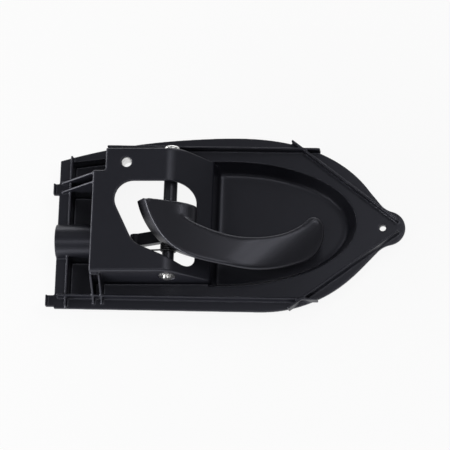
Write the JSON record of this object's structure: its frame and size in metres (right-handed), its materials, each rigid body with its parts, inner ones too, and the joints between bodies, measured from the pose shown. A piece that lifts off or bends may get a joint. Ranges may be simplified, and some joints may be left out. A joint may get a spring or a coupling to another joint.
{
  "type": "car interior door handle",
  "caption": "Recessed car door release: boat-shaped black housing with a finger bowl, and a curved sprung pull lever on a steel pin that draws the latch cable.",
  "frame": {"origin": "on the flat rear of the finger bowl, on the middle line of the bowl", "axes": "+X from the cable end to the nose, +Y across the door, +Z out of the door towards the hand"},
  "size_m": [0.2132, 0.1081, 0.0391],
  "materials": {
    "housing_black": "fine satin moulding",
    "lever_black": "smooth satin moulding",
    "plated_steel": "bright zinc plate",
    "spring_steel": "drawn spring wire"
  },
  "bodies": {
    "housing_body": {"housing": "housing_black", "hinge_pin": "plated_steel", "pin_retainer": "plated_steel", "return_spring": "spring_steel", "fixing_sleeve": "plated_steel"},
    "lever_body": {"lever": "lever_black"}
  },
  "joints": [
    {"name": "lever_pull", "type": "hinge", "parent": "housing_body", "child": "lever_body", "pos_m": [-0.0318, 0, 0.0275], "axis": [0, -1, 0], "range_deg": [0, 35], "stiffness_Nm_per_rad": 0.25, "springref_deg": -22.92, "deforming": ["return_spring"]}
  ]
}
